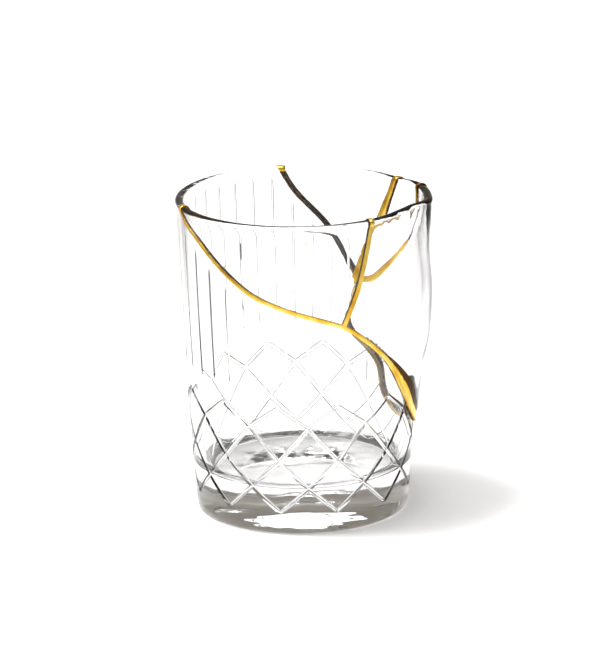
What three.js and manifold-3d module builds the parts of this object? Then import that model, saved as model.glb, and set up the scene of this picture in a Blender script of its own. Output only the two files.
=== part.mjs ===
// A glass tumbler broken into five shards and joined again with raised gold seams.
// The base, the left side and one front shard are cut glass: upright cuts under the lip and a lattice
// of crossing cuts above the foot. The right side and the back are smooth glass, and the right side
// stands out from the cut wall in a soft swelling.
// Millimetres, +Z up. The origin is under the middle of the whole width, on the surface it stands on.
// Angles are in degrees round the tumbler's own axis, with 0 at the front (-Y) and 90 at the right (+X).
import * as THREE from "three";
import { mergeVertices } from "three/addons/utils/BufferGeometryUtils.js";
import Module from "manifold-3d";

// The tumbler's driving sizes
const HEIGHT = 105;
const RIM_RADIUS = 40.5; // outside of the lip
const LIP_PROUD = 0.2; // how far the lip stands out from the wall under it
const LIP_HEIGHT = 2;
const FOOT_RADIUS = 35.2; // outside, where the heel's rounding ends
const WALL_FULLNESS = 0.7; // how far the wall bows out past a straight cone
const RIM_WALL = 2.8;
const LOWER_WALL = 3.9; // wall thickness just above the floor
const HEEL_RADIUS = 1.2;
const FLOOR_HEIGHT = 14.5; // solid glass under the drink
const FLOOR_CORNER = 5;
const FLOOR_DISH = 0.6; // the floor's middle is this much lower than its edge
const PUNT_RADIUS = 28; // shallow hollow under the foot
const PUNT_DEPTH = 2;
const PUNT_STEPS = 4;

// The cuts in the glass
const UPRIGHT_CUTS = 36;
const UPRIGHT_PHASE = 3;
const UPRIGHT_WIDTH = 0.9;
const UPRIGHT_DEPTH = 0.4;
const UPRIGHT_TOP_GAP = 1.2; // under the lip
const UPRIGHT_LATTICE_GAP = 6.5; // above the lattice
const UPRIGHT_GAP_ABOVE = 8; // clear of a seam that runs under the cut
const UPRIGHT_GAP_BELOW = 4; // clear of a seam that runs over it
const UPRIGHT_TAPER = 3; // length of a cut's run-out
const UPRIGHT_END = 0.15; // share of the depth at its very end
const LATTICE_POINTS = 12;
const LATTICE_PHASE = 18;
const LATTICE_LEVELS = [7.4, 15.9, 25.3, 36.7, 43.8]; // heights of the points, the crossings and the tops
const LATTICE_WIDTH = 1.6;
const LATTICE_DEPTH = 0.5;

// The gold
const GOLD_PROUD = 0.4; // above the glass, outside, inside and over the lip
const JOINT_GAP = 0.25; // between the gold and a shard's edge
const GOLD_FRONT = 1.6; // widths along the wall
const GOLD_BACK = 2.1;
const GOLD_LOW = 3; // beside the swelling
const GOLD_FINE = 1.3; // at the left of the front and low at the back

// The swelling of the smooth side, measured outwards from the cut wall
const SWELL = 4.4; // at its fullest
const SWELL_LOW = 1.4; // at its lower end
const SWELL_WAIST = 3; // between the fullest part and the rim
const SWELL_RIM = 3.2;
const SWELL_HEIGHT = 70;
const SWELL_LOW_HEIGHT = 30;
const WAIST_HEIGHT = 90;
const CORNER_HEIGHT = 84; // the shape changes to that of the rim above this height
const SWELL_RISE = [20, 92]; // it comes up from the cut wall between these angles
const SWELL_RISE_LOW = [36, 64]; // and between these low down
const SWELL_RISE_HEIGHTS = [38, 66]; // the low angles change to the middle ones between these heights
const SWELL_RISE_RIM = [66, 82]; // and between these at the rim, where the second one makes a corner
const SWELL_FALL = [120, 150]; // it comes down to the cut wall again
const SWELL_FALL_RIM = [105, 128];
const CORNER_RISE = 0.3; // extra at the rim's corner
const CORNER_SPREAD = 6; // degrees
const FLAT = 0.8; // the rim runs this much straighter than a circle before the corner
const FLAT_ANGLE = 56;
const FLAT_SPREAD = 12;
const SWELL_EDGE = 4; // the swelling comes down to the cut wall over this distance from a seam
const EDGE_SHARE = 0.12; // how much of it stands beside the seam itself

const AXIS_X = -1.85; // the round wall's axis: the swelling shifts the middle of the whole width from it
const SIDES = 48;
const WALL_STEPS = 5; // straight steps from the heel to the lip on the cut glass
const SMOOTH_STEPS = 9;
const ARC_STEPS = 3; // steps round the heel and the floor's corner
const LIP_STEPS = 4;

const RADIANS = Math.PI / 180;

const smoothStep = (low, high, x) => THREE.MathUtils.smootherstep(x, low, high);
const mix = (a, b, t) => a + (b - a) * t;

// The wall: radii at a height, and the closed outline of half a section
const LIP_BOTTOM = HEIGHT - LIP_HEIGHT;
const WALL_TOP_RADIUS = RIM_RADIUS - LIP_PROUD;

function outerRadius(z) {
  const share = z / HEIGHT;
  return mix(FOOT_RADIUS, WALL_TOP_RADIUS, share) + WALL_FULLNESS * 4 * share * (1 - share);
}

function innerRadius(z) {
  const share = Math.max(z - FLOOR_HEIGHT, 0) / (HEIGHT - FLOOR_HEIGHT);
  return outerRadius(z) - mix(LOWER_WALL, RIM_WALL - LIP_PROUD, Math.sqrt(share));
}

// Points of an arc from angle a to angle b, in degrees, in the plane of the section
function arc(centreR, centreZ, radiusR, radiusZ, a, b, steps) {
  return Array.from({ length: steps + 1 }, (_, i) => {
    const angle = mix(a, b, i / steps) * RADIANS;
    return [centreR + radiusR * Math.cos(angle), centreZ + radiusZ * Math.sin(angle)];
  });
}

// proud thickens the wall and the lip by that much on every face, for the gold to follow
function section(wallSteps, proud = 0) {
  const punt = Array.from({ length: PUNT_STEPS + 1 }, (_, i) => {
    const share = i / PUNT_STEPS;
    return [PUNT_RADIUS * share, (PUNT_DEPTH * (1 + Math.cos(Math.PI * share))) / 2];
  });
  const heel = arc(FOOT_RADIUS - HEEL_RADIUS, HEEL_RADIUS, HEEL_RADIUS, HEEL_RADIUS, -90, 0, ARC_STEPS);
  const outside = Array.from({ length: wallSteps }, (_, i) => {
    const z = mix(LATTICE_LEVELS[0], LIP_BOTTOM, i / (wallSteps - 1));
    return [outerRadius(z) + proud, z];
  });
  const lipInside = innerRadius(LIP_BOTTOM);
  const lip = arc(
    (RIM_RADIUS + lipInside) / 2,
    HEIGHT - LIP_HEIGHT / 2,
    (RIM_RADIUS - lipInside) / 2 + proud,
    LIP_HEIGHT / 2 + proud,
    0,
    180,
    LIP_STEPS,
  );
  const cornerZ = FLOOR_HEIGHT + FLOOR_CORNER;
  const inside = Array.from({ length: wallSteps - 1 }, (_, i) => {
    const z = mix(LIP_BOTTOM, cornerZ, i / (wallSteps - 2));
    return [innerRadius(z) - proud, z];
  });
  const cornerR = innerRadius(cornerZ) - FLOOR_CORNER;
  const corner = arc(cornerR, cornerZ, FLOOR_CORNER - proud, FLOOR_CORNER, 0, -90, ARC_STEPS).slice(1);
  const points = [...punt, ...heel, ...outside, ...lip, ...inside, ...corner];
  points.push([0, FLOOR_HEIGHT - FLOOR_DISH]);
  points[0][0] = 0;
  return points.map(([r, z]) => new THREE.Vector2(Math.max(r, 0), z));
}

// A point at an angle, a radius and a height
function at(angle, radius, z) {
  return [radius * Math.sin(angle * RADIANS), -radius * Math.cos(angle * RADIANS), z];
}

// The seams: each runs through a few places that a crack really passes. A place is an angle, a height as a
// share of the tumbler's height and the width of the gold there
const ABOVE_RIM = 1.03;
const FRONT_JOINT = [20.5, 0.673, GOLD_FRONT];
const BACK_JOINT = [148.8, 0.642, GOLD_BACK];
const SEAMS = {
  // round the body's broken edge: from the rim at the left, down across the front, under the swelling and
  // up the back to the rim again
  body: [
    [-76.5, ABOVE_RIM, GOLD_FINE],
    [-68, 0.971, GOLD_FINE],
    [-54, 0.918, GOLD_FINE],
    [-39, 0.846, GOLD_FINE],
    [-23.4, 0.779, GOLD_FRONT],
    [-9, 0.741, GOLD_FRONT],
    FRONT_JOINT,
    [30.2, 0.631, GOLD_FRONT],
    [46.6, 0.534, GOLD_FRONT],
    [60.2, 0.423, GOLD_LOW],
    [72.3, 0.334, GOLD_LOW],
    [84, 0.285, GOLD_LOW],
    [100, 0.257, GOLD_BACK],
    [116, 0.265, GOLD_FINE],
    [125, 0.296, GOLD_FINE],
    [130.4, 0.374, GOLD_FINE],
    [140.3, 0.421, GOLD_FINE],
    [150.5, 0.463, GOLD_FINE],
    [153.5, 0.506, GOLD_FINE],
    [150.5, 0.58, GOLD_FINE],
    BACK_JOINT,
    [157, 0.726, GOLD_BACK],
    [166, 0.808, GOLD_BACK],
    [182, 0.919, GOLD_BACK],
    [191.5, ABOVE_RIM, GOLD_BACK],
  ],
  front: [
    [36.5, ABOVE_RIM, GOLD_FRONT],
    [34.5, 0.965, GOLD_FRONT],
    [31.5, 0.873, GOLD_FRONT],
    [27.5, 0.78, GOLD_FRONT],
    FRONT_JOINT,
  ],
  back: [
    [121, ABOVE_RIM, GOLD_BACK],
    [124, 0.975, GOLD_BACK],
    [131.5, 0.885, GOLD_BACK],
    [138.8, 0.789, GOLD_BACK],
    BACK_JOINT,
  ],
  rising: [
    BACK_JOINT,
    [138.5, 0.652, GOLD_BACK],
    [130, 0.702, GOLD_BACK],
    [122, 0.752, GOLD_BACK],
    [114.5, 0.782, GOLD_BACK],
    [108, 0.82, GOLD_BACK],
    [105, 0.88, GOLD_FINE],
    [107, ABOVE_RIM, GOLD_FINE],
  ],
};
const SEAM_STEP = 5; // between the sections of a seam

// The seam's centre line as places [angle, height, width], evenly spaced along the wall
function seamLine(points) {
  const scale = outerRadius(HEIGHT / 2) * RADIANS;
  const flat = points.map(([angle, share, width]) => new THREE.Vector3(angle * scale, share * HEIGHT, width));
  const curve = new THREE.CatmullRomCurve3(flat, false, "centripetal");
  const steps = Math.round(curve.getLength() / SEAM_STEP);
  return curve.getSpacedPoints(steps).map((p) => [p.x / scale, p.y, p.z]);
}

const bodyLine = seamLine(SEAMS.body);

// How far a place on the wall is from the body's broken edge
function distanceToBody(angle, z) {
  const scale = outerRadius(HEIGHT / 2) * RADIANS;
  return Math.min(...bodyLine.map(([a, height]) => Math.hypot((a - angle) * scale, height - z)));
}

// 1 at an angle, and falling away to both sides of it
const bump = (angle, middle, spread) => Math.exp(-(((angle - middle) / spread) ** 2));

// How far the smooth side stands out from the cut wall
function swelling(angle, z) {
  const nearRim = smoothStep(CORNER_HEIGHT, HEIGHT, z);
  const above = mix(SWELL_WAIST, SWELL_RIM, smoothStep(WAIST_HEIGHT, LIP_BOTTOM, z));
  const upper = mix(SWELL, above, smoothStep(SWELL_HEIGHT, WAIST_HEIGHT, z));
  const up = mix(SWELL_LOW, upper, smoothStep(SWELL_LOW_HEIGHT, SWELL_HEIGHT, z));
  const middle = smoothStep(SWELL_RISE_HEIGHTS[0], SWELL_RISE_HEIGHTS[1], z);
  const [riseFrom, riseTo] = SWELL_RISE.map((angleThere, i) =>
    mix(mix(SWELL_RISE_LOW[i], angleThere, middle), SWELL_RISE_RIM[i], nearRim),
  );
  const [fallFrom, fallTo] = SWELL_FALL.map((low, i) => mix(low, SWELL_FALL_RIM[i], nearRim));
  const rise = smoothStep(riseFrom, riseTo, angle);
  const fall = 1 - smoothStep(fallFrom, fallTo, angle);
  const corner = CORNER_RISE * nearRim * bump(angle, SWELL_RISE_RIM[1], CORNER_SPREAD);
  const flat = FLAT * nearRim * bump(angle, FLAT_ANGLE, FLAT_SPREAD);
  const edge = smoothStep(0, SWELL_EDGE, distanceToBody(angle, z));
  return (up + corner) * rise * fall * mix(EDGE_SHARE, 1, edge) - flat;
}

const wasm = await Module();
wasm.setup();

// A closed three.js geometry as a solid
function solid(geometry) {
  const bare = geometry.clone();
  bare.deleteAttribute("normal");
  bare.deleteAttribute("uv");
  const merged = mergeVertices(bare, 1e-4);
  return new wasm.Manifold(
    new wasm.Mesh({
      numProp: 3,
      vertProperties: merged.attributes.position.array,
      triVerts: new Uint32Array(merged.index.array),
    }),
  );
}

function geometryOf(manifold) {
  const mesh = manifold.getMesh();
  const geometry = new THREE.BufferGeometry();
  geometry.setAttribute("position", new THREE.BufferAttribute(mesh.vertProperties, 3));
  geometry.setIndex(new THREE.BufferAttribute(mesh.triVerts, 1));
  geometry.computeVertexNormals();
  return geometry;
}

const union = (solids) => solids.reduce((whole, next) => whole.add(next));

// A bar through rings of points: each ring is one section, listed counter-clockwise seen from its start
function bar(rings) {
  const sides = rings[0].length;
  const positions = rings.flat(2);
  const index = [];
  for (let i = 0; i + 1 < rings.length; i++)
    for (let k = 0; k < sides; k++) {
      const a = i * sides + k;
      const b = i * sides + ((k + 1) % sides);
      index.push(a, b, b + sides, a, b + sides, a + sides);
    }
  const last = (rings.length - 1) * sides;
  for (let k = 1; k + 1 < sides; k++) {
    index.push(0, k + 1, k);
    index.push(last, last + k, last + k + 1);
  }
  const geometry = new THREE.BufferGeometry();
  geometry.setAttribute("position", new THREE.Float32BufferAttribute(positions, 3));
  geometry.setIndex(index);
  const made = solid(geometry);
  if (made.volume() > 0) return made;
  for (let i = 0; i < index.length; i += 3) [index[i + 1], index[i + 2]] = [index[i + 2], index[i + 1]];
  geometry.setIndex(index);
  return solid(geometry);
}

// A tumbler of the section, with its wall moved outwards by the swelling where swollen is true
function vessel(wallSteps, proud, swollen) {
  const turned = new THREE.LatheGeometry(section(wallSteps, proud), SIDES, LATTICE_PHASE * RADIANS);
  turned.rotateX(Math.PI / 2);
  const position = turned.attributes.position;
  for (let i = 0; swollen && i < position.count; i++) {
    const [x, y, z] = [position.getX(i), position.getY(i), position.getZ(i)];
    const radius = Math.hypot(x, y);
    if (z < LATTICE_LEVELS[0] || radius < innerRadius(FLOOR_HEIGHT) / 2) continue;
    const angle = Math.atan2(x, -y) / RADIANS;
    const moved = radius * (1 + swelling(angle, z) / outerRadius(z));
    position.setXY(i, (x / radius) * moved, (y / radius) * moved);
  }
  const made = solid(turned);
  if (made.volume() > 0) return made;
  const index = turned.index.array;
  for (let i = 0; i < index.length; i += 3) [index[i + 1], index[i + 2]] = [index[i + 2], index[i + 1]];
  return solid(turned);
}

// The wall is many-sided: the distance out to its face at an angle
function faceRadius(angle, z) {
  const side = 360 / SIDES;
  const turn = (((angle - LATTICE_PHASE) % side) + side) % side;
  return (outerRadius(z) * Math.cos((side / 2) * RADIANS)) / Math.cos((turn - side / 2) * RADIANS);
}

// The V-shaped tool of one cut, along places [angle, height, share of the full depth]
const TOOL_CLEAR = 0.5; // how far a tool stands out of the glass
const TOOL_EDGE = 0.02; // half of its width where a cut runs out to nothing
const TOOL_LEAST = 0.1; // depth there
function cutTool(places, width, depth) {
  const rings = places.map(([angle, z, share], i) => {
    const before = places[Math.max(i - 1, 0)];
    const after = places[Math.min(i + 1, places.length - 1)];
    const radius = faceRadius(angle, z);
    const along = new THREE.Vector2((after[0] - before[0]) * RADIANS * radius, after[1] - before[1]).normalize();
    const half = (width / 2) * share + TOOL_EDGE;
    const spread = half * ((depth * share + TOOL_CLEAR) / Math.max(depth * share, TOOL_LEAST));
    const side = (sign) => {
      const turn = (sign * along.y * spread) / radius / RADIANS;
      return at(angle - turn, radius + TOOL_CLEAR, z + sign * along.x * spread);
    };
    return [at(angle, radius - depth * share, z), side(1), side(-1)];
  });
  return bar(rings);
}

// The heights at which an upright line crosses a seam
function crossings(angle, line) {
  const found = [];
  for (let i = 0; i + 1 < line.length; i++) {
    const [[a, za], [b, zb]] = [line[i], line[i + 1]];
    const t = (angle - a) / (b - a);
    if (t >= 0 && t < 1) found.push(mix(za, zb, t));
  }
  return found.filter((z) => z < HEIGHT);
}

// The upright cuts stop short of the seams, of the lip and of the lattice
function uprightTools() {
  const frontLine = seamLine(SEAMS.front);
  const frontEnd = SEAMS.front[0][0]; // the front shard ends here at the rim
  const bottom = LATTICE_LEVELS.at(-1) + UPRIGHT_LATTICE_GAP;
  const top = LIP_BOTTOM - UPRIGHT_TOP_GAP;
  const tools = [];
  for (let i = 0; i < UPRIGHT_CUTS; i++) {
    const turn = UPRIGHT_PHASE + (i * 360) / UPRIGHT_CUTS;
    const angle = turn > 180 + LATTICE_PHASE ? turn - 360 : turn;
    const stops = crossings(angle, bodyLine);
    const floor = Math.max(...stops, ...crossings(angle, frontLine)) + UPRIGHT_GAP_ABOVE;
    const runs = stops.length
      ? [[bottom, Math.min(...stops) - UPRIGHT_GAP_BELOW], [floor, angle < frontEnd ? top : 0]]
      : [[bottom, top]];
    for (const [low, high] of runs) {
      if (high - low < 2 * UPRIGHT_TAPER) continue;
      const places = [
        [angle, low, UPRIGHT_END],
        [angle, low + UPRIGHT_TAPER, 1],
        [angle, high - UPRIGHT_TAPER, 1],
        [angle, high, UPRIGHT_END],
      ];
      tools.push(cutTool(places, UPRIGHT_WIDTH, UPRIGHT_DEPTH));
    }
  }
  return tools;
}

// The lattice: from each low point one cut climbs to each side, through every level
function latticeTools() {
  const halfStep = 180 / LATTICE_POINTS;
  const facets = Math.round(halfStep / (360 / SIDES));
  const tools = [];
  for (let i = 0; i < LATTICE_POINTS; i++)
    for (const way of [1, -1]) {
      const start = LATTICE_PHASE + i * 2 * halfStep;
      const places = [];
      for (let level = 0; level + 1 < LATTICE_LEVELS.length; level++)
        for (let k = 0; k < facets; k++) {
          const t = k / facets;
          places.push([
            start + way * halfStep * (level + t),
            mix(LATTICE_LEVELS[level], LATTICE_LEVELS[level + 1], t),
            1,
          ]);
        }
      places.push([start + way * halfStep * (LATTICE_LEVELS.length - 1), LATTICE_LEVELS.at(-1), 1]);
      tools.push(cutTool(places, LATTICE_WIDTH, LATTICE_DEPTH));
    }
  return tools;
}

// A curtain that stands on a seam's line and reaches just past both faces of the wall
const CURTAIN_INSIDE = 1.5;
const CURTAIN_OUTSIDE = 2.2;
function curtain(seam, extra) {
  const line = seamLine(seam);
  const rings = line.map(([angle, z, width], i) => {
    const before = line[Math.max(i - 1, 0)];
    const after = line[Math.min(i + 1, line.length - 1)];
    const radius = outerRadius(z);
    const near = innerRadius(z) - CURTAIN_INSIDE;
    const far = radius + Math.max(swelling(angle, z), 0) + CURTAIN_OUTSIDE;
    const along = new THREE.Vector2((after[0] - before[0]) * RADIANS * radius, after[1] - before[1]).normalize();
    const half = width / 2 + extra;
    const side = (sign, r) =>
      at(angle - (sign * along.y * half) / radius / RADIANS, r, z + sign * along.x * half);
    return [side(1, near), side(1, far), side(-1, far), side(-1, near)];
  });
  return bar(rings);
}

// The gold fills each joint through the wall and stands proud of the glass on every side
function goldSolid() {
  const plain = vessel(SMOOTH_STEPS, GOLD_PROUD, false);
  const swollen = vessel(SMOOTH_STEPS, GOLD_PROUD, true);
  const both = plain.add(swollen);
  return union(
    Object.entries(SEAMS).map(([name, seam]) => curtain(seam, 0).intersect(name === "rising" ? swollen : both)),
  );
}

// The piece of a broken solid that holds a place on the wall: an angle and a share of the height
const PROBE = 1;
function shardAt(broken, angle, share, swollen) {
  const z = share * HEIGHT;
  const radius = (outerRadius(z) + innerRadius(z)) / 2 + (swollen ? swelling(angle, z) : 0);
  const probe = solid(new THREE.BoxGeometry(PROBE, PROBE, PROBE).translate(...at(angle, radius, z)));
  const found = broken.find((piece) => piece.intersect(probe).volume() > 0);
  if (!found) throw new Error(`no shard at ${angle} degrees, ${z} mm`);
  return found;
}

const joints = union(Object.values(SEAMS).map((seam) => curtain(seam, JOINT_GAP)));
const cutTumbler = vessel(WALL_STEPS, 0, false).subtract(union([...uprightTools(), ...latticeTools()]));
const cutShards = cutTumbler.subtract(joints).decompose();
const plainShards = vessel(WALL_STEPS, 0, false).subtract(joints).decompose();
const smoothShards = vessel(SMOOTH_STEPS, 0, true).subtract(joints).decompose();

function glass(color) {
  return new THREE.MeshStandardMaterial({
    color,
    roughness: 0.03,
    metalness: 0,
    transparent: true,
    opacity: 0.35,
  });
}
const cutGlass = glass(0xf1f4f5);
const smoothGlass = glass(0xeff1f6);
const gold = new THREE.MeshStandardMaterial({ color: 0xd69a2a, roughness: 0.32, metalness: 0.9 });

const tumbler = new THREE.Group();
function addPiece(name, manifold, material) {
  const mesh = new THREE.Mesh(geometryOf(manifold), material);
  mesh.name = name;
  tumbler.add(mesh);
}

addPiece("cut_glass_body", shardAt(cutShards, -90, 0.57, false), cutGlass);
addPiece("cut_glass_front_shard", shardAt(cutShards, 8, 0.876, false), cutGlass);
addPiece("smooth_glass_side_shard", shardAt(smoothShards, 90, 0.57, true), smoothGlass);
addPiece("smooth_glass_wedge_shard", shardAt(smoothShards, 116, 0.93, true), smoothGlass);
addPiece("smooth_glass_back_shard", shardAt(plainShards, 155, 0.933, false), smoothGlass);
addPiece("gold_seams", goldSolid(), gold);

tumbler.position.x = AXIS_X;

export default tumbler;
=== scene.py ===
import math

import bmesh
import bpy
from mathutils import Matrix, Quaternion, Vector


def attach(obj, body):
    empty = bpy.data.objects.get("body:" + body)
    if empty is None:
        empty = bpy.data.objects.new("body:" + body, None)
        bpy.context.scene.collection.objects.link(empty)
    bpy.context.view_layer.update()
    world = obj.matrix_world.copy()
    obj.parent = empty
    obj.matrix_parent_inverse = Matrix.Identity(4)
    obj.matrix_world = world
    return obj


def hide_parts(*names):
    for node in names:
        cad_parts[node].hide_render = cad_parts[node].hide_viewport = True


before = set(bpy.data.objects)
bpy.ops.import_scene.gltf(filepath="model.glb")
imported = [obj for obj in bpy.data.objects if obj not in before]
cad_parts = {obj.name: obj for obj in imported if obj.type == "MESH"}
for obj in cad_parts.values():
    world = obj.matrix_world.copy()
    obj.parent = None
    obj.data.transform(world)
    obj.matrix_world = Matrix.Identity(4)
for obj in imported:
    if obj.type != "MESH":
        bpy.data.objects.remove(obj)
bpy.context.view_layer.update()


# The wall of the tumbler.
# All five shards were once parts of two blown glass walls that shared one form: a straight-sided
# tumbler with a thick base, a soft heel and a rounded lip. One wall was cut, the other left smooth.
MM = 0.001
AXIS = Vector((-1.85 * MM, 0, 0))  # the round wall's axis, as the solids have it
HEIGHT = 105 * MM
FACET_DEPTH = 0.06 * MM  # the many-sided solids' faces lie this far inside their corners
RIM_RADIUS = 40.5 * MM - FACET_DEPTH
LIP_PROUD = 0.2 * MM
LIP_HEIGHT = 2 * MM
FOOT_RADIUS = 35.2 * MM - FACET_DEPTH
FULLNESS = 0.7 * MM
RIM_WALL = 2.8 * MM
LOWER_WALL = 3.9 * MM
HEEL_RADIUS = 1.2 * MM
FLOOR_HEIGHT = 14.5 * MM
FLOOR_CORNER = 5 * MM
FLOOR_DISH = 0.6 * MM
PUNT_RADIUS = 28 * MM
PUNT_DEPTH = 2 * MM
PUNT_STEPS = 16
LIP_BOTTOM = HEIGHT - LIP_HEIGHT
SIDES = 192
WALL_STEP = 1.4 * MM
HEEL_STEPS = 10
LIP_STEPS = 14
LIP_START = -20  # degrees, where the lip's rounding leaves the outside
FLOOR_STEPS = 8  # round the floor's corner, and across its dish
MERGE = 0.001 * MM


def mix(a, b, t):
    return a + (b - a) * t


def smooth_step(low, high, x):
    t = min(max((x - low) / (high - low), 0), 1)
    return t * t * t * (t * (6 * t - 15) + 10)


def outer_radius(z):
    share = z / HEIGHT
    return mix(FOOT_RADIUS, RIM_RADIUS - LIP_PROUD, share) + FULLNESS * 4 * share * (1 - share)


def inner_radius(z):
    share = max(z - FLOOR_HEIGHT, 0) / (HEIGHT - FLOOR_HEIGHT)
    return outer_radius(z) - mix(LOWER_WALL, RIM_WALL - LIP_PROUD, math.sqrt(share))


def on_wall(angle, radius, z):
    """A point at an angle in degrees, 0 at the front and 90 at the right, a radius and a height."""
    turn = math.radians(angle)
    return AXIS + Vector((radius * math.sin(turn), -radius * math.cos(turn), z))


def arc(centre, radii, start, end, steps):
    turns = [math.radians(mix(start, end, i / steps)) for i in range(steps + 1)]
    return [(centre[0] + radii[0] * math.cos(t), centre[1] + radii[1] * math.sin(t)) for t in turns]


def wall_outline(outside_proud, inside_proud):
    """Half the section from the foot's middle out, up, over the lip and down to the floor's middle."""
    lip_proud = max(outside_proud, inside_proud)
    out_steps = round((LIP_BOTTOM - 2 * HEEL_RADIUS) / WALL_STEP)
    corner_z = FLOOR_HEIGHT + FLOOR_CORNER
    in_steps = round((LIP_BOTTOM - corner_z) / WALL_STEP)
    punt = [(PUNT_RADIUS * i / PUNT_STEPS, PUNT_DEPTH * (1 + math.cos(math.pi * i / PUNT_STEPS)) / 2)
            for i in range(PUNT_STEPS + 1)]
    heel_centre = (FOOT_RADIUS - HEEL_RADIUS, HEEL_RADIUS)
    heel = arc(heel_centre, (HEEL_RADIUS, HEEL_RADIUS), -90, 0, HEEL_STEPS)
    outside = [mix(2 * HEEL_RADIUS, LIP_BOTTOM, i / out_steps) for i in range(out_steps + 1)]
    lip_inside = inner_radius(LIP_BOTTOM)
    lip_centre = ((RIM_RADIUS + lip_inside) / 2, HEIGHT - LIP_HEIGHT / 2)
    lip_radii = ((RIM_RADIUS - lip_inside) / 2 + lip_proud, LIP_HEIGHT / 2 + lip_proud)
    lip = arc(lip_centre, lip_radii, LIP_START, 180, LIP_STEPS)
    inside = [mix(LIP_BOTTOM, corner_z, i / in_steps) for i in range(in_steps + 1)]
    corner_centre = (inner_radius(corner_z) - FLOOR_CORNER, corner_z)
    corner = arc(corner_centre, (FLOOR_CORNER - inside_proud, FLOOR_CORNER), 0, -90, FLOOR_STEPS)[1:]
    shares = [i / FLOOR_STEPS for i in range(1, FLOOR_STEPS + 1)]
    dish = [
        (corner_centre[0] * (1 - share), FLOOR_HEIGHT - FLOOR_DISH * math.sin(math.pi / 2 * share))
        for share in shares
    ]
    return [
        *punt,
        *heel,
        *[(outer_radius(z) + outside_proud, z) for z in outside],
        *lip,
        *[(inner_radius(z) - inside_proud, z) for z in inside],
        *corner,
        *dish,
    ]


def deselect():
    bpy.ops.object.select_all(action="DESELECT")


def spun_wall(name, outside_proud=0.0, inside_proud=0.0):
    """The outline, extruded point by point and spun round the axis into one closed solid."""
    deselect()
    outline = [on_wall(90, radius, z) for radius, z in wall_outline(outside_proud, inside_proud)]
    bpy.ops.mesh.primitive_plane_add(size=HEIGHT, location=(0, 0, 0))
    wall = bpy.context.object
    wall.name = name
    bpy.ops.object.mode_set(mode="EDIT")
    bpy.ops.mesh.merge(type="CENTER")
    bpy.ops.transform.translate(value=outline[0])
    for before, after in zip(outline, outline[1:]):
        bpy.ops.mesh.extrude_vertices_move(TRANSFORM_OT_translate={"value": after - before})
    bpy.ops.mesh.select_all(action="SELECT")
    bpy.ops.mesh.spin(steps=SIDES, angle=2 * math.pi, center=AXIS, axis=(0, 0, 1))
    bpy.ops.mesh.select_all(action="SELECT")
    bpy.ops.mesh.remove_doubles(threshold=MERGE)
    bpy.ops.mesh.normals_make_consistent(inside=False)
    bpy.ops.object.mode_set(mode="OBJECT")
    return wall


def swept(name, sections):
    """A closed bar, extruded section by section. Each section is a list of as many corners."""
    deselect()
    bpy.ops.mesh.primitive_circle_add(vertices=len(sections[0]), fill_type="NGON")
    bar = bpy.context.object
    bar.name = name
    bpy.ops.object.mode_set(mode="EDIT")
    shape = bmesh.from_edit_mesh(bar.data)
    shape.verts.ensure_lookup_table()
    ring = list(shape.verts)
    for number, section in enumerate(sections):
        if number:
            bpy.ops.mesh.extrude_region_move()
            shape = bmesh.from_edit_mesh(bar.data)
            moved = [vert for vert in shape.verts if vert.select]
            ring = [min(moved, key=lambda vert: (vert.co - corner).length_squared) for corner in before]
        for vert, corner in zip(ring, section):
            vert.co = corner
        before = [vert.co.copy() for vert in ring]
        bmesh.update_edit_mesh(bar.data)
    bpy.ops.mesh.select_all(action="SELECT")
    bpy.ops.mesh.normals_make_consistent(inside=False)
    bpy.ops.object.mode_set(mode="OBJECT")
    return bar


def joined(name, pieces):
    deselect()
    for piece in pieces:
        piece.select_set(True)
    bpy.context.view_layer.objects.active = pieces[0]
    bpy.ops.object.join()
    pieces[0].name = name
    return pieces[0]


def carve(piece, tool, operation="DIFFERENCE"):
    deselect()
    piece.select_set(True)
    bpy.context.view_layer.objects.active = piece
    cut = piece.modifiers.new("cut", "BOOLEAN")
    cut.operation = operation
    cut.solver = "MANIFOLD"
    cut.object = tool
    bpy.ops.object.modifier_apply(modifier=cut.name)


# The broken edges.
# Each crack was cleaned and kept as it ran: one goes right round the cut body, and three more part the
# front shard from the side one and the two pieces at the back. A place is an angle, a height as a share of
# the tumbler's and a width.
ABOVE_RIM = 1.03
FRONT_GOLD = 1.6 * MM
BACK_GOLD = 2.1 * MM
LOW_GOLD = 3 * MM
FINE_GOLD = 1.3 * MM
FRONT_JOINT = (20.5, 0.673, FRONT_GOLD)
BACK_JOINT = (148.8, 0.642, BACK_GOLD)
BODY_CRACK = [
    (-76.5, ABOVE_RIM, FINE_GOLD),
    (-68, 0.971, FINE_GOLD),
    (-54, 0.918, FINE_GOLD),
    (-39, 0.846, FINE_GOLD),
    (-23.4, 0.779, FRONT_GOLD),
    (-9, 0.741, FRONT_GOLD),
    FRONT_JOINT,
    (30.2, 0.631, FRONT_GOLD),
    (46.6, 0.534, FRONT_GOLD),
    (60.2, 0.423, LOW_GOLD),
    (72.3, 0.334, LOW_GOLD),
    (84, 0.285, LOW_GOLD),
    (100, 0.257, BACK_GOLD),
    (116, 0.265, FINE_GOLD),
    (125, 0.296, FINE_GOLD),
    (130.4, 0.374, FINE_GOLD),
    (140.3, 0.421, FINE_GOLD),
    (150.5, 0.463, FINE_GOLD),
    (153.5, 0.506, FINE_GOLD),
    (150.5, 0.58, FINE_GOLD),
    BACK_JOINT,
    (157, 0.726, BACK_GOLD),
    (166, 0.808, BACK_GOLD),
    (182, 0.919, BACK_GOLD),
    (191.5, ABOVE_RIM, BACK_GOLD),
]
FRONT_CRACK = [
    (36.5, ABOVE_RIM, FRONT_GOLD),
    (34.5, 0.965, FRONT_GOLD),
    (31.5, 0.873, FRONT_GOLD),
    (27.5, 0.78, FRONT_GOLD),
    FRONT_JOINT,
]
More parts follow.
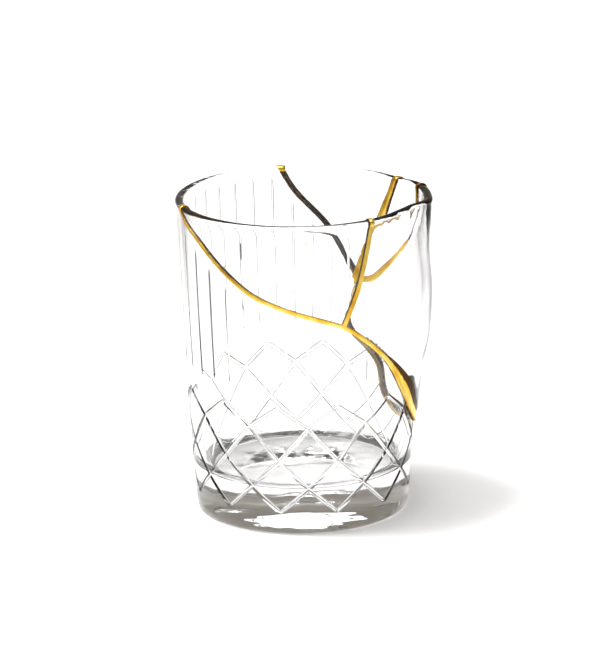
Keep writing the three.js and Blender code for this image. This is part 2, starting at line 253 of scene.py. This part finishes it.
BACK_CRACK = [
    (121, ABOVE_RIM, BACK_GOLD),
    (124, 0.975, BACK_GOLD),
    (131.5, 0.885, BACK_GOLD),
    (138.8, 0.789, BACK_GOLD),
    BACK_JOINT,
]
RISING_CRACK = [
    BACK_JOINT,
    (138.5, 0.652, BACK_GOLD),
    (130, 0.702, BACK_GOLD),
    (122, 0.752, BACK_GOLD),
    (114.5, 0.782, BACK_GOLD),
    (108, 0.82, BACK_GOLD),
    (105, 0.88, FINE_GOLD),
    (107, ABOVE_RIM, FINE_GOLD),
]
CRACK_STEP = 1.3 * MM
CURVE_STEPS = 24  # between two places, while the curve's length is measured
ALONG = outer_radius(HEIGHT / 2) * math.radians(1)  # the length of one degree, half way up the wall
SHALLOW_FILLING = 0.8 * MM  # depth of the lacquer where a joint closed tightly behind it


def crack_line(places):
    """The crack's centre line, smoothed through its places and evenly spaced."""
    flat = [Vector((angle * ALONG, share * HEIGHT, width)) for angle, share, width in places]
    ends = [2 * flat[0] - flat[1], *flat, 2 * flat[-1] - flat[-2]]
    fine = []
    for p0, p1, p2, p3 in zip(ends, ends[1:], ends[2:], ends[3:]):
        t1 = (p1 - p0).length ** 0.5
        t2 = t1 + (p2 - p1).length ** 0.5
        t3 = t2 + (p3 - p2).length ** 0.5
        for i in range(CURVE_STEPS):
            t = mix(t1, t2, i / CURVE_STEPS)
            a1 = p0 * ((t1 - t) / t1) + p1 * (t / t1)
            a2 = p1 * ((t2 - t) / (t2 - t1)) + p2 * ((t - t1) / (t2 - t1))
            a3 = p2 * ((t3 - t) / (t3 - t2)) + p3 * ((t - t2) / (t3 - t2))
            b1 = a1 * ((t2 - t) / t2) + a2 * (t / t2)
            b2 = a2 * ((t3 - t) / (t3 - t1)) + a3 * ((t - t1) / (t3 - t1))
            fine.append(b1 * ((t2 - t) / (t2 - t1)) + b2 * ((t - t1) / (t2 - t1)))
    fine.append(flat[-1])
    lengths = [(b - a).length for a, b in zip(fine, fine[1:])]
    steps = round(sum(lengths) / CRACK_STEP)
    line = []
    travelled = 0.0
    number = 0
    for i in range(steps + 1):
        wanted = sum(lengths) * i / steps
        while number < len(lengths) - 1 and travelled + lengths[number] < wanted:
            travelled += lengths[number]
            number += 1
        share = min((wanted - travelled) / lengths[number], 1)
        point = fine[number].lerp(fine[number + 1], share)
        line.append((point.x / ALONG, point.y, point.z))
    return line


BODY_LINE = crack_line(BODY_CRACK)
FRONT_LINE = crack_line(FRONT_CRACK)
BACK_LINE = crack_line(BACK_CRACK)
RISING_LINE = crack_line(RISING_CRACK)


# The swelling of the smooth side.
# The smooth glass was blown fuller than the cut wall. At the right it stands out in a soft swelling, which
# makes a corner at the rim and comes down to the cut wall beside the gold. It is measured outwards.
SWELL = 4.4 * MM
SWELL_LOW = 1.4 * MM
SWELL_WAIST = 3 * MM
SWELL_RIM = 3.2 * MM
SWELL_HEIGHT = 70 * MM
SWELL_LOW_HEIGHT = 30 * MM
WAIST_HEIGHT = 90 * MM
CORNER_HEIGHT = 84 * MM
SWELL_RISE = (20, 92)
SWELL_RISE_LOW = (36, 64)
SWELL_RISE_RIM = (66, 82)
SWELL_RISE_HEIGHTS = (38 * MM, 66 * MM)
SWELL_FALL = (120, 150)
SWELL_FALL_RIM = (105, 128)
CORNER_RISE = 0.3 * MM
CORNER_SPREAD = 6
FLAT = 0.8 * MM
FLAT_ANGLE = 56
FLAT_SPREAD = 12
SWELL_EDGE = 4 * MM
EDGE_SHARE = 0.12
SWELL_START = 10  # nothing moves before this angle
RIBBON_INSIDE = 2 * MM  # how far a ribbon reaches past the inner face of the wall
RIBBON_OUTSIDE = 2.6 * MM  # and past the outer one
EDGE_PLACES = [(angle * ALONG, z) for angle, z, width in BODY_LINE if angle > 0]


def bump_at(angle, middle, spread):
    return math.exp(-(((angle - middle) / spread) ** 2))


def swelling(angle, z):
    near_rim = smooth_step(CORNER_HEIGHT, HEIGHT, z)
    above = mix(SWELL_WAIST, SWELL_RIM, smooth_step(WAIST_HEIGHT, LIP_BOTTOM, z))
    upper = mix(SWELL, above, smooth_step(SWELL_HEIGHT, WAIST_HEIGHT, z))
    up = mix(SWELL_LOW, upper, smooth_step(SWELL_LOW_HEIGHT, SWELL_HEIGHT, z))
    near_foot = 1 - smooth_step(*SWELL_RISE_HEIGHTS, z)
    rises = zip(SWELL_RISE, SWELL_RISE_LOW, SWELL_RISE_RIM)
    rise_from, rise_to = (mix(mix(middle, low, near_foot), rim, near_rim) for middle, low, rim in rises)
    fall_from, fall_to = (mix(low, rim, near_rim) for low, rim in zip(SWELL_FALL, SWELL_FALL_RIM))
    rise = smooth_step(rise_from, rise_to, angle)
    fall = 1 - smooth_step(fall_from, fall_to, angle)
    corner = CORNER_RISE * near_rim * bump_at(angle, SWELL_RISE_RIM[1], CORNER_SPREAD)
    flat = FLAT * near_rim * bump_at(angle, FLAT_ANGLE, FLAT_SPREAD)
    if rise * fall == 0:
        return -flat
    across = angle * ALONG
    nearest = min((a - across) ** 2 + (b - z) ** 2 for a, b in EDGE_PLACES) ** 0.5
    edge = smooth_step(0, SWELL_EDGE, nearest)
    return (up + corner) * rise * fall * mix(EDGE_SHARE, 1, edge) - flat


def swell(wall):
    for vert in wall.data.vertices:
        place = vert.co - AXIS
        radius = math.hypot(place.x, place.y)
        angle = math.degrees(math.atan2(place.x, -place.y))
        z = place.z
        if z < FLOOR_HEIGHT / 2 or radius < FOOT_RADIUS / 2 or not SWELL_START < angle < SWELL_FALL[1]:
            continue
        vert.co = on_wall(angle, radius * (1 + swelling(angle, z) / outer_radius(z)), z)


def curtain(name, line, thickness=None, shallow=(0, 0)):
    """A ribbon that stands on a crack's line and reaches just past both faces of the wall.

    Between the two shallow angles it starts a little under the outer face instead.
    """
    sections = []
    for i, (angle, z, width) in enumerate(line):
        before = line[max(i - 1, 0)]
        after = line[min(i + 1, len(line) - 1)]
        radius = outer_radius(z)
        tight = shallow[0] < angle < shallow[1]
        near = radius - SHALLOW_FILLING if tight else inner_radius(z) - RIBBON_INSIDE
        far = radius + max(swelling(angle, z), 0) + RIBBON_OUTSIDE
        along = Vector(((after[0] - before[0]) * ALONG, after[1] - before[1])).normalized()
        half = (thickness or width) / 2
        left = (angle - math.degrees(along.y * half / radius), z + along.x * half)
        right = (angle + math.degrees(along.y * half / radius), z - along.x * half)
        sections.append([
            on_wall(left[0], near, left[1]),
            on_wall(left[0], far, left[1]),
            on_wall(right[0], far, right[1]),
            on_wall(right[0], near, right[1]),
        ])
    return swept(name, sections)


# The cuts.
# The cutter ground two kinds of groove into the outside: fine upright ones under the lip, and above the
# foot a lattice of crossing ones. Their bottoms are round and they were polished clear.
UPRIGHT_CUTS = 36
UPRIGHT_PHASE = 3
UPRIGHT_WIDTH = 0.9 * MM
UPRIGHT_DEPTH = 0.4 * MM
UPRIGHT_TOP_GAP = 1.2 * MM
UPRIGHT_LATTICE_GAP = 6.5 * MM
UPRIGHT_GAP_ABOVE = 8 * MM
UPRIGHT_GAP_BELOW = 4 * MM
UPRIGHT_TAPER = 3 * MM
LATTICE_POINTS = 12
LATTICE_PHASE = 18
LATTICE_LEVELS = [7.4 * MM, 15.9 * MM, 25.3 * MM, 36.7 * MM, 43.8 * MM]
LATTICE_WIDTH = 1.6 * MM
LATTICE_DEPTH = 0.5 * MM
TOOL_CLEAR = 0.5 * MM
TOOL_STEPS = 6  # across the round bottom of a groove
TOOL_FLARE = 1.2  # how much wider a tool is above the glass
UPRIGHT_STEP = 2 * MM
UPRIGHT_LEAST_STEPS = 6
UPRIGHT_RUN_OUT = 0.5 * MM  # a cut would fade out this far past its end
UPRIGHT_END = 0.05  # share of the depth left at its end
LATTICE_STEPS = 8  # between two levels


def groove(name, places, width, depth):
    """A round-bottomed bar along places, each an angle, a height and a share of the full depth."""
    sections = []
    for i, (angle, z, share) in enumerate(places):
        before = places[max(i - 1, 0)]
        after = places[min(i + 1, len(places) - 1)]
        radius = outer_radius(z)
        along = Vector((math.radians(after[0] - before[0]) * radius, after[1] - before[1])).normalized()
        half = width / 2 * share
        rounds = [mix(-1, 1, k / TOOL_STEPS) for k in range(TOOL_STEPS + 1)]
        bottom = [(across * half, -depth * share * (1 - across * across)) for across in rounds]
        corners = [*bottom, (TOOL_FLARE * half, TOOL_CLEAR), (-TOOL_FLARE * half, TOOL_CLEAR)]
        sections.append([
            on_wall(angle + math.degrees(along.y * across / radius), radius + up, z - along.x * across)
            for across, up in corners
        ])
    return swept(name, sections)


def crossings(angle, line):
    found = []
    for (a, za, _), (b, zb, _) in zip(line, line[1:]):
        if a != b and 0 <= (angle - a) / (b - a) < 1:
            found.append(mix(za, zb, (angle - a) / (b - a)))
    return [z for z in found if z < HEIGHT]


def upright_runs():
    """Where each upright cut begins and ends: clear of the lip, the lattice and the cracks."""
    bottom = LATTICE_LEVELS[-1] + UPRIGHT_LATTICE_GAP
    top = LIP_BOTTOM - UPRIGHT_TOP_GAP
    runs = []
    for i in range(UPRIGHT_CUTS):
        turn = UPRIGHT_PHASE + i * 360 / UPRIGHT_CUTS
        angle = turn - 360 if turn > 180 + LATTICE_PHASE else turn
        stops = crossings(angle, BODY_LINE)
        if not stops:
            runs.append((angle, bottom, top))
            continue
        runs.append((angle, bottom, min(stops) - UPRIGHT_GAP_BELOW))
        if angle < FRONT_CRACK[0][0]:
            runs.append((angle, max(stops + crossings(angle, FRONT_LINE)) + UPRIGHT_GAP_ABOVE, top))
    return [run for run in runs if run[2] - run[1] > 2 * UPRIGHT_TAPER]


def upright_grooves():
    tools = []
    for angle, low, high in upright_runs():
        steps = max(round((high - low) / UPRIGHT_STEP), UPRIGHT_LEAST_STEPS)
        places = []
        for i in range(steps + 1):
            z = mix(low, high, i / steps)
            share = smooth_step(-UPRIGHT_RUN_OUT, UPRIGHT_TAPER, min(z - low, high - z))
            places.append((angle, z, max(share, UPRIGHT_END)))
        tools.append(groove("upright_tool", places, UPRIGHT_WIDTH, UPRIGHT_DEPTH))
    return joined("upright_tools", tools)


def lattice_grooves(way):
    half_step = 180 / LATTICE_POINTS
    tools = []
    for i in range(LATTICE_POINTS):
        start = LATTICE_PHASE + i * 2 * half_step
        places = []
        for level, (low, high) in enumerate(zip(LATTICE_LEVELS, LATTICE_LEVELS[1:])):
            for k in range(LATTICE_STEPS):
                part = k / LATTICE_STEPS
                places.append((start + way * half_step * (level + part), mix(low, high, part), 1))
        places.append((start + way * half_step * (len(LATTICE_LEVELS) - 1), LATTICE_LEVELS[-1], 1))
        tools.append(groove("lattice_tool", places, LATTICE_WIDTH, LATTICE_DEPTH))
    return joined("lattice_tools", tools)


# The glass shards.
# Five pieces of clear glass. Three are plain breaks of the smooth wall, two of the cut one, and all
# are held by the gold alone. The body carries the thick base.
CRACK = 0.3 * MM  # what the joint takes between two shards
BODY_PLACE = (-90, 60 * MM)  # an angle and a height on the outside of each shard
FRONT_PLACE = (5, 92 * MM)
SIDE_PLACE = (80, 60 * MM)
WEDGE_PLACE = (117, 98 * MM)
BACK_PLACE = (155, 98 * MM)
LINES = {"body": BODY_LINE, "front": FRONT_LINE, "back": BACK_LINE, "rising": RISING_LINE}


def broken(wall):
    """The wall parted by every crack."""
    for name, line in LINES.items():
        tool = curtain("crack_" + name, line, CRACK)
        carve(wall, tool)
        bpy.data.objects.remove(tool)
    deselect()
    wall.select_set(True)
    bpy.context.view_layer.objects.active = wall
    bpy.ops.mesh.separate(type="LOOSE")
    return list(bpy.context.selected_objects)


def take(shards, name, angle, z):
    """The shard whose surface is nearest a place on the wall; it gets its name."""
    place = on_wall(angle, outer_radius(z), z)
    shard = min(shards, key=lambda piece: min((v.co - place).length for v in piece.data.vertices))
    shard.name = name
    shards.remove(shard)
    return shard


cut_wall = spun_wall("cut_wall")
for tool in (upright_grooves(), lattice_grooves(1), lattice_grooves(-1)):
    carve(cut_wall, tool)
    bpy.data.objects.remove(tool)
cut_shards = broken(cut_wall)
body = take(cut_shards, "body_glass", *BODY_PLACE)
front_shard = take(cut_shards, "front_shard_glass", *FRONT_PLACE)

smooth_wall = spun_wall("smooth_wall")
swell(smooth_wall)
smooth_shards = broken(smooth_wall)
side_shard = take(smooth_shards, "side_shard_glass", *SIDE_PLACE)
wedge_shard = take(smooth_shards, "wedge_shard_glass", *WEDGE_PLACE)
back_shard = take(smooth_shards, "back_shard_glass", *BACK_PLACE)
for spare in cut_shards + smooth_shards:
    bpy.data.objects.remove(spare)


class Value:
    """A socket that can be written in sums."""

    tree = None

    def __init__(self, socket):
        self.socket = socket

    def _maths(self, operation, first, second):
        return node(self.tree, "ShaderNodeMath", {"operation": operation}, {0: first, 1: second})

    def __add__(self, other):
        return self._maths("ADD", self, other)

    def __mul__(self, other):
        return self._maths("MULTIPLY", self, other)

    def __sub__(self, other):
        return self._maths("SUBTRACT", self, other)


def node(tree, kind, settings=None, values=None, stops=None, output=0):
    made = tree.nodes.new(kind)
    for key, setting in (settings or {}).items():
        setattr(made, key, setting)
    if stops:
        ramp = made.color_ramp.elements
        while len(ramp) < len(stops):
            ramp.new(0.5)
        for stop, (place, color) in zip(ramp, stops):
            stop.position = place
            stop.color = color
    for key, value in (values or {}).items():
        if isinstance(value, Value):
            tree.links.new(value.socket, made.inputs[key])
        else:
            made.inputs[key].default_value = value
    return Value(made.outputs[output])


def new_material(name):
    material = bpy.data.materials.new(name)
    material.use_nodes = True
    tree = material.node_tree
    Value.tree = tree
    shader = tree.nodes["Principled BSDF"]
    return material, tree, shader


BASE_WAVES_END = 22 * MM
RIM_WAVES_START = 92 * MM
RIM_WAVE_SIZE = 6 * MM
GLASS_IOR = 1.5

def glass(name, color, wave_size, wall_wave, base_wave, rim_wave):
    """Clear glass with slow waves in its faces, of one depth in the base, the wall and at the rim."""
    material, tree, shader = new_material(name)
    shader.inputs["Base Color"].default_value = color
    shader.inputs["Roughness"].default_value = 0.0
    shader.inputs["IOR"].default_value = GLASS_IOR
    shader.inputs["Transmission Weight"].default_value = 1.0
    place = node(tree, "ShaderNodeTexCoord", output=3)
    height = node(tree, "ShaderNodeSeparateXYZ", {}, {"Vector": place}, output=2)
    base = node(tree, "ShaderNodeMapRange", {}, {
        "Value": height,
        "From Min": BASE_WAVES_END,
        "From Max": FLOOR_HEIGHT,
        "To Min": wall_wave,
        "To Max": base_wave,
    })
    rim = node(tree, "ShaderNodeMapRange", {}, {
        "Value": height,
        "From Min": RIM_WAVES_START,
        "From Max": HEIGHT,
        "To Min": 0.0,
        "To Max": rim_wave,
    })
    wave = node(tree, "ShaderNodeTexNoise", {}, {"Vector": place, "Scale": 1 / wave_size, "Detail": 1.0})
    fine = node(tree, "ShaderNodeTexNoise", {}, {"Vector": place, "Scale": 1 / RIM_WAVE_SIZE, "Detail": 1.0})
    relief = wave * base + fine * rim
    bump = node(tree, "ShaderNodeBump", {}, {"Strength": 1.0, "Distance": 1.0, "Height": relief})
    tree.links.new(bump.socket, shader.inputs["Normal"])
    return material


cut_glass = glass(
    "cut_glass",
    color=(1, 1, 1, 1),
    wave_size=10 * MM,
    wall_wave=0.015 * MM,
    base_wave=0.3 * MM,
    rim_wave=0,
)
smooth_glass = glass(
    "smooth_glass",
    color=(0.975, 0.97, 0.985, 1),
    wave_size=20 * MM,
    wall_wave=0.08 * MM,
    base_wave=0.08 * MM,
    rim_wave=0.3 * MM,
)


def finish_piece(piece, material, solid, angle=30):
    deselect()
    piece.select_set(True)
    bpy.context.view_layer.objects.active = piece
    bpy.ops.object.shade_smooth_by_angle(angle=math.radians(angle))
    piece.data.materials.clear()
    piece.data.materials.append(material)
    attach(piece, "root")
    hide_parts(solid)


finish_piece(body, cut_glass, "cut_glass_body")
finish_piece(front_shard, cut_glass, "cut_glass_front_shard")
finish_piece(side_shard, smooth_glass, "smooth_glass_side_shard")
finish_piece(wedge_shard, smooth_glass, "smooth_glass_wedge_shard")
finish_piece(back_shard, smooth_glass, "smooth_glass_back_shard")


# The gold.
# Dark lacquer fills each joint, right through the wall but for the tight ones low at the back. Over it,
# outside or inside and across the lip, lies a raised line dusted with gold powder, dark where it touches
# the glass. It is one unbroken network.
GOLD_PROUD = 0.36 * MM
NO_LINE = -0.15 * MM  # on a face that has no raised line, the cover stays inside the glass
LACQUER = 0.34 * MM  # thickness of the filling, which grips the glass on both sides
BEAD_VOXEL = 0.22 * MM
BEAD_SMOOTHING = 5
BEAD_SOFTNESS = 0.5
BEAD_BITE = 0.05 * MM  # the line sinks this far into the glass
TIGHT_ANGLES = (80, 152)  # low at the back the filling is shallow
SHADE_SHEET_PROUD = 0.22 * MM  # painted shade: a dark sheet of lacquer lies on the smooth glass beside the broadest line
SHADE_SHEET_ANGLES = (42, 87)
SHADE_SHEET_WIDTH = 1.9 * MM
SHADE_SHEET_UNDER = 0.4 * MM  # of its width lies under the line
RISING_FROM = 66 * MM  # height above which lines run over the swollen wall
SHADED_CORNER_ANGLES = (98, 112)  # painted shade: the thin line at the corner of the rim is painted darker
SHADED_CORNER_FROM = 0.8 * HEIGHT
SHADED_CORNER_SHARE = 0.6
FACING = (-0.1, 0.25)  # the lacquer shows as a face turns to the glass, from one to the other


def cover(name, outside_proud=0.0, inside_proud=0.0, both=True):
    """The space of the swollen wall, with that of the plain one where the crack parts the two."""
    swollen = spun_wall(name, outside_proud, inside_proud)
    swell(swollen)
    if both:
        plain = spun_wall("plain_" + name, outside_proud, inside_proud)
        carve(swollen, plain, "UNION")
        bpy.data.objects.remove(plain)
    return swollen


def network(name, thickness, covers, shallow=(0, 0)):
    """The ribbons on all cracks, as far as each lies within its cover, as one piece."""
    parts = []
    for crack, line in LINES.items():
        part = curtain(name + "_" + crack, line, thickness, shallow if crack == "body" else (0, 0))
        carve(part, covers[crack], "INTERSECT")
        parts.append(part)
    for part in parts[1:]:
        carve(parts[0], part, "UNION")
        bpy.data.objects.remove(part)
    parts[0].name = name
    return parts[0]


outside_cover = cover("outside_cover", GOLD_PROUD, NO_LINE)
inside_cover = cover("inside_cover", NO_LINE, GOLD_PROUD)
rising_cover = cover("rising_cover", NO_LINE, GOLD_PROUD, both=False)
shade_sheet_cover = cover("shade_sheet_cover", SHADE_SHEET_PROUD, NO_LINE, both=False)
core = cover("core")
swollen_core = cover("swollen_core", both=False)
line_covers = {"body": outside_cover, "front": outside_cover, "back": inside_cover, "rising": rising_cover}
beads = network("gold_beads", None, line_covers)
lacquer_covers = {"body": core, "front": core, "back": core, "rising": swollen_core}
lacquer = network("lacquer", LACQUER, lacquer_covers, TIGHT_ANGLES)
# Painted shade: a dark sheet of lacquer on the smooth glass beside the broadest line, joined to the filling,
# darkens the swollen edge there.
shade_sheet_line = []
for before, (angle, z, width), after in zip(BODY_LINE, BODY_LINE[1:], BODY_LINE[2:]):
    share = (angle - SHADE_SHEET_ANGLES[0]) / (SHADE_SHEET_ANGLES[1] - SHADE_SHEET_ANGLES[0])
    if 0 < share < 1:
        along = Vector(((after[0] - before[0]) * ALONG, after[1] - before[1])).normalized()
        broad = SHADE_SHEET_WIDTH * math.sin(math.pi * share) ** 0.5
        aside = width / 2 + broad / 2 - SHADE_SHEET_UNDER
        shade_sheet_line.append((angle - along.y * aside / ALONG, z + along.x * aside, broad))
shade_sheet = curtain("shade_sheet", shade_sheet_line)
carve(shade_sheet, shade_sheet_cover, "INTERSECT")
carve(lacquer, shade_sheet, "UNION")
bpy.data.objects.remove(shade_sheet)
for shard in (body, front_shard, side_shard, wedge_shard, back_shard):
    carve(beads, shard)
    if shard is side_shard:
        carve(lacquer, shard)
carve(beads, lacquer)
for wall in (outside_cover, inside_cover, rising_cover, shade_sheet_cover, core, swollen_core):
    bpy.data.objects.remove(wall)
deselect()
beads.select_set(True)
bpy.context.view_layer.objects.active = beads
remesh = beads.modifiers.new("bead", "REMESH")
remesh.mode = "VOXEL"
remesh.voxel_size = BEAD_VOXEL
bpy.ops.object.modifier_apply(modifier=remesh.name)
smooth = beads.modifiers.new("soft_edges", "SMOOTH")
smooth.factor = BEAD_SOFTNESS
smooth.iterations = BEAD_SMOOTHING
bpy.ops.object.modifier_apply(modifier=smooth.name)
bite = beads.modifiers.new("bite", "DISPLACE")
bite.strength = BEAD_BITE
bite.mid_level = 0.0
bpy.ops.object.modifier_apply(modifier=bite.name)
bead_points = len(beads.data.vertices)
gold_seams = joined("gold_seam_line", [beads, lacquer])


def bare_lacquer_and_corner_shade(point, normal):
    """1 where the dark lacquer shows: through the glass, on the face of a line that lies against it. Near
    the corner of the rim the line also gets painted shade.
    """
    angle = math.degrees(math.atan2(point.x, -point.y))
    outward = Vector((point.x, point.y, 0)).normalized()
    middle = (outer_radius(point.z) + inner_radius(point.z)) / 2
    if angle > TIGHT_ANGLES[0] and point.z > RISING_FROM:
        middle *= 1 + swelling(angle, point.z) / outer_radius(point.z)
    side = 1 if math.hypot(point.x, point.y) > middle else -1
    # Painted shade: the line is darker at the corner of the rim, whichever way it faces.
    corner_shade = SHADED_CORNER_SHARE if SHADED_CORNER_ANGLES[0] < angle < SHADED_CORNER_ANGLES[1] and point.z > SHADED_CORNER_FROM else 0
    return max(smooth_step(*FACING, -side * normal.dot(outward)), corner_shade)


# The attribute carries the dark lacquer and the painted shade at the corner of the rim.
shade = gold_seams.data.attributes.new("lacquer", "FLOAT", "POINT")
for vert, value in zip(gold_seams.data.vertices, shade.data):
    value.value = 1.0 if vert.index >= bead_points else bare_lacquer_and_corner_shade(vert.co - AXIS, vert.normal)


DUST_SCALE = 160.0  # patches a metre
GRAIN_SCALE = 2400.0
DARKENING = 0.6  # of the tone where the lacquer shows, and at the painted shade of the rim corner
LEAST_ROUGHNESS = 0.2
ROUGHNESS_SPREAD = 0.25
DUST_SHARE = 0.7  # of the relief
GRAIN_SHARE = 0.3
RELIEF_STRENGTH = 0.5
RELIEF_DEPTH = 0.12 * MM

def gold(name):
    material, tree, shader = new_material(name)
    place = node(tree, "ShaderNodeTexCoord", output=3)
    broad = node(tree, "ShaderNodeTexNoise", {}, {"Vector": place, "Scale": DUST_SCALE, "Detail": 3.0})
    grain = node(tree, "ShaderNodeTexNoise", {}, {"Vector": place, "Scale": GRAIN_SCALE, "Detail": 2.0})
    lacquer_and_shade = node(tree, "ShaderNodeAttribute", {"attribute_name": "lacquer"}, output=2)
    tone = node(
        tree,
        "ShaderNodeValToRGB",
        {},
        {"Fac": broad - lacquer_and_shade * DARKENING},
        [
            (0.0, (0.06, 0.03, 0.01, 1)),
            (0.15, (0.2, 0.1, 0.02, 1)),
            (0.35, (0.8, 0.42, 0.04, 1)),
            (0.5, (0.98, 0.6, 0.08, 1)),
            (0.7, (1.0, 0.76, 0.2, 1)),
        ],
    )
    tree.links.new(tone.socket, shader.inputs["Base Color"])
    shader.inputs["Metallic"].default_value = 1.0
    rough = broad * ROUGHNESS_SPREAD + LEAST_ROUGHNESS
    tree.links.new(rough.socket, shader.inputs["Roughness"])
    height = broad * DUST_SHARE + grain * GRAIN_SHARE
    relief = {"Strength": RELIEF_STRENGTH, "Distance": RELIEF_DEPTH, "Height": height}
    bump = node(tree, "ShaderNodeBump", {}, relief)
    tree.links.new(bump.socket, shader.inputs["Normal"])
    return material


finish_piece(gold_seams, gold("gold"), "gold_seams", angle=40)


# The table, the light and the camera.
# A plain white table stands in a pale room that is darker at its sides and overhead. Two wide, soft lamps
# light it from above and a little from the left. Under the thick foot the table itself glows: a painted pool
# of light that stands in for the light the glass gathers there.
FRAME_HEIGHT = 660  # of the picture, in pixels
FOCAL = 4003.4  # in pixels
SENSOR = 36.0  # mm, the picture's height on it
DISTANCE = 1322.6 * MM
ELEVATION = math.radians(17.15)
ROLL = math.radians(-0.87)
AIM = AXIS + Vector((0, 0, 49.4 * MM))
AIM_BELOW_MIDDLE = 27.8  # pixels
AIM_RIGHT_OF_MIDDLE = 0.56
TABLE_GAP = 0.08 * MM  # air under the foot
TABLE_SIZE = 6.0
PAINTED_POOL_GLOW = 0.45  # painted pool of light: how strongly the table glows under the thick floor
PAINTED_POOL_RADIUS = 36 * MM
PAINTED_POOL_CORE = 0.7  # share of the radius that is evenly bright
TABLE_WHITE = 0.9
TABLE_ROUGHNESS = 0.5
WHITE = (1, 1, 1, 1)
BLACK = (0, 0, 0, 1)
DARK_SIDE = (0.1, 0.1, 0.11, 1)  # the room at the left
PALE_SIDE = (0.45, 0.45, 0.47, 1)
HORIZON = (0.6, 0.59, 0.57, 1)
LOW_CEILING = (0.3, 0.27, 0.23, 1)
HIGH_CEILING = (0.2, 0.18, 0.15, 1)
ROOM_LIGHT = 0.88
LIT_PLACE = Vector((0, 0.3, 0))  # where both lamps point, behind the tumbler
NEAREST_SEEN = 0.05

bpy.context.scene.view_settings.view_transform = "Standard"

bpy.ops.mesh.primitive_plane_add(size=TABLE_SIZE, location=(0, 0, -TABLE_GAP))
table = bpy.context.object
table.name = "table"
table_material, table_tree, table_shader = new_material("white_table")
table_shader.inputs["Base Color"].default_value = (TABLE_WHITE, TABLE_WHITE, TABLE_WHITE, 1)
table_shader.inputs["Roughness"].default_value = TABLE_ROUGHNESS
table_place = node(table_tree, "ShaderNodeTexCoord", output=3)
foot_place = (AXIS.x, AXIS.y, 0)
span = {0: table_place, 1: foot_place}
from_axis = node(table_tree, "ShaderNodeVectorMath", {"operation": "DISTANCE"}, span, output=1)
# Painted pool of light: the table glows evenly under the foot and fades out towards the radius.
painted_pool = node(
    table_tree,
    "ShaderNodeValToRGB",
    {},
    {"Fac": from_axis * (1 / PAINTED_POOL_RADIUS)},
    [(PAINTED_POOL_CORE, WHITE), (1.0, BLACK)],
)
table_tree.links.new(painted_pool.socket, table_shader.inputs["Emission Color"])
table_shader.inputs["Emission Strength"].default_value = PAINTED_POOL_GLOW
table.data.materials.append(table_material)

world = bpy.context.scene.world or bpy.data.worlds.new("studio")
bpy.context.scene.world = world
world.use_nodes = True
sky = world.node_tree
direction = node(sky, "ShaderNodeTexCoord")
across = node(sky, "ShaderNodeSeparateXYZ", {}, {"Vector": direction}, output=0)
upwards = node(sky, "ShaderNodeSeparateXYZ", {}, {"Vector": direction}, output=2)
walls = node(
    sky,
    "ShaderNodeValToRGB",
    {},
    {"Fac": across * 0.5 + 0.5},
    [(0.17, DARK_SIDE), (0.35, WHITE), (0.65, WHITE), (0.83, PALE_SIDE)],
)
ceiling = node(
    sky,
    "ShaderNodeValToRGB",
    {},
    {"Fac": upwards},
    [(0.0, HORIZON), (0.14, LOW_CEILING), (0.6, HIGH_CEILING), (0.85, WHITE)],
)
room = node(
    sky,
    "ShaderNodeMix",
    {"data_type": "RGBA", "blend_type": "MULTIPLY"},
    {0: 1.0, 6: walls, 7: ceiling},
    output=2,
)
backdrop = sky.nodes["Background"]
sky.links.new(room.socket, backdrop.inputs["Color"])
backdrop.inputs["Strength"].default_value = ROOM_LIGHT


def soft_light(name, place, width, length, power, spread):
    bpy.ops.object.light_add(type="AREA", location=place)
    lamp = bpy.context.object
    lamp.name = name
    lamp.data.shape = "RECTANGLE"
    lamp.data.size = width
    lamp.data.size_y = length
    lamp.data.energy = power
    lamp.data.spread = math.radians(spread)
    lamp.rotation_euler = (LIT_PLACE - lamp.location).to_track_quat("-Z", "Y").to_euler()


soft_light("top_light", Vector((0, 0.3, 0.32)), width=0.44, length=1.8, power=0.98, spread=30)
soft_light("key_light", Vector((-0.17, 0.3, 0.5)), width=2.1, length=0.34, power=2.1, spread=20)

back = Vector((0, -math.cos(ELEVATION), math.sin(ELEVATION)))
up = Vector((0, math.sin(ELEVATION), math.cos(ELEVATION)))
right = Vector((1, 0, 0))
bpy.ops.object.camera_add(location=AIM + back * DISTANCE)
camera = bpy.context.object
camera.data.lens = FOCAL * SENSOR / FRAME_HEIGHT
camera.data.sensor_width = SENSOR
camera.data.clip_start = NEAREST_SEEN
target = AIM + (up * AIM_BELOW_MIDDLE - right * AIM_RIGHT_OF_MIDDLE) * DISTANCE / FOCAL
look = target - camera.location
camera.rotation_mode = "QUATERNION"
camera.rotation_quaternion = look.to_track_quat("-Z", "Y") @ Quaternion((0, 0, 1), ROLL)
bpy.context.scene.camera = camera
